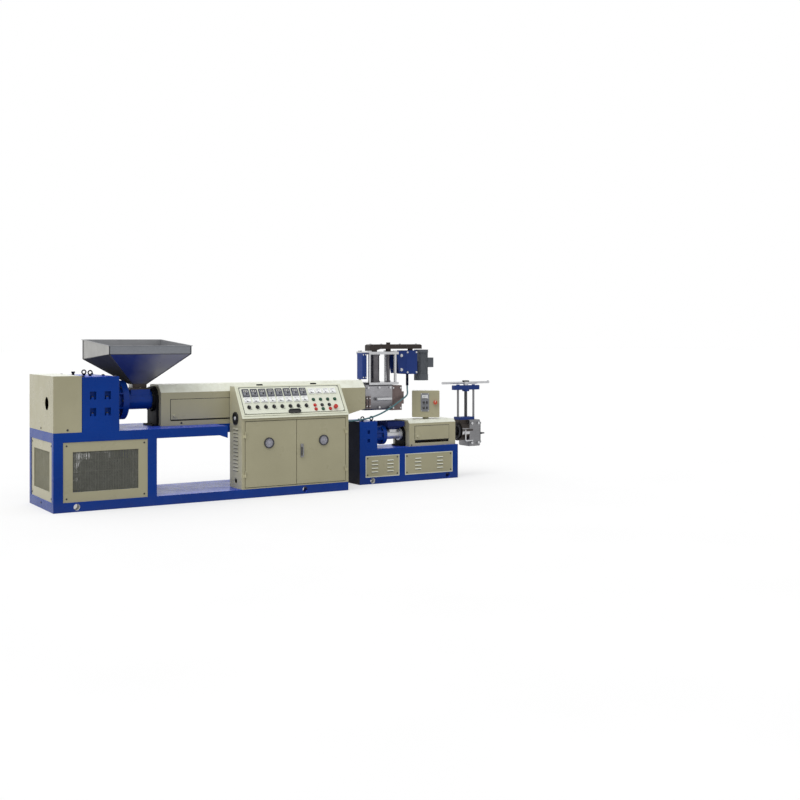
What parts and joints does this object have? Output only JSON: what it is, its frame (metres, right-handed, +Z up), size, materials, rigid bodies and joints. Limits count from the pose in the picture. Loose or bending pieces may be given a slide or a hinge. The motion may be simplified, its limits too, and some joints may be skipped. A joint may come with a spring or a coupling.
{
  "type": "two-stage plastic extruder",
  "caption": "Two-stage plastic recycling extruder: belt-driven first stage with feed hopper, control cabinet and screen changer over a short second stage with hand-screw changer and die.",
  "frame": {"origin": "on the floor under the middle of the machine's bounding box", "axes": "+X along the screws from the belt guard to the strand die, +Y from the cabinet doors to the back, +Z up"},
  "size_m": [5.3436, 0.979, 1.6065],
  "materials": {
    "blue_paint": "gloss machine enamel",
    "cream_paint": "satin powder coat",
    "stainless": "brushed sheet",
    "machined_steel": "ground",
    "brown_steel": "heat-tinted, oiled",
    "dark_iron": "dark enamel on castings",
    "black_paint": "satin black",
    "plate_cream": "satin instrument plate",
    "black_plastic": "moulded",
    "dark_plastic": "moulded",
    "white_plastic": "moulded",
    "red_plastic": "moulded",
    "grey_plastic": "moulded",
    "belt_rubber": "v-belt",
    "cable_sheath": "cable sheath"
  },
  "bodies": {
    "machine": {"barrel_supports": "black_paint", "barrels": "dark_iron", "bearing_housings": "blue_paint", "belt_guard": "cream_paint", "belt_pulleys": "machined_steel", "cabinet_back": "cream_paint", "cabinet_front_frame": "cream_paint", "cabinet_hinges": "machined_steel", "cabinet_side_fan": "black_plastic", "cabinet_sides": "cream_paint", "chain_guard": "brown_steel", "changer_block": "machined_steel", "changer_drive_box": "blue_paint", "changer_frame": "machined_steel", "changer_jacks": "dark_iron", "changer_motor": "dark_iron", "changer_reducer": "blue_paint", "console_hood": "cream_paint", "console_plate": "plate_cream", "console_pull": "black_plastic", "control_box": "cream_paint", "control_box_panel": "grey_plastic", "cover_doors": "cream_paint", "discharge_die": "brown_steel", "drive_belts": "belt_rubber", "drive_cable": "cable_sheath", "drive_motor": "dark_iron", "end_motor_guards": "cream_paint", "feed_hopper": "stainless", "guard_wire_grilles": "dark_iron", "hand_changer_block": "machined_steel", "hand_changer_frame": "blue_paint", "lifting_eyes": "dark_iron", "main_barrel_bed": "blue_paint", "main_barrel_cover": "cream_paint", "main_base_posts": "blue_paint", "main_feed_section": "blue_paint", "main_gearbox": "blue_paint", "main_screw": "machined_steel", "main_sole_frame": "blue_paint", "main_top_frame": "blue_paint", "panel_buttons": "red_plastic", "panel_meters": "white_plastic", "panel_switches": "black_plastic", "second_barrel_cover": "cream_paint", "second_base_frame": "blue_paint", "second_base_panels": "cream_paint", "second_feed_chute": "blue_paint", "second_feed_section": "machined_steel", "second_gearbox": "blue_paint", "side_motor_guards": "cream_paint", "strand_die": "dark_iron", "temperature_controllers": "dark_plastic"},
    "left_door": {"left_door": "cream_paint", "left_door_vent": "dark_plastic"},
    "right_door": {"right_door": "cream_paint", "right_door_vent": "dark_plastic", "door_latch": "machined_steel"},
    "turn_bar": {"turn_bar": "machined_steel"}
  },
  "joints": [
    {"name": "left_door_hinge", "type": "hinge", "parent": "machine", "child": "left_door", "pos_m": [-0.74775, -0.4635, 0.44], "axis": [0, 0, -1], "range_deg": [0, 110]},
    {"name": "right_door_hinge", "type": "hinge", "parent": "machine", "child": "right_door", "pos_m": [0.41225, -0.4635, 0.44], "axis": [0, 0, 1], "range_deg": [0, 110]},
    {"name": "turn_bar_screw", "type": "hinge", "parent": "machine", "child": "turn_bar", "pos_m": [2.33325, 0.0495, 1], "axis": [0, 0, 1], "continuous": true}
  ]
}
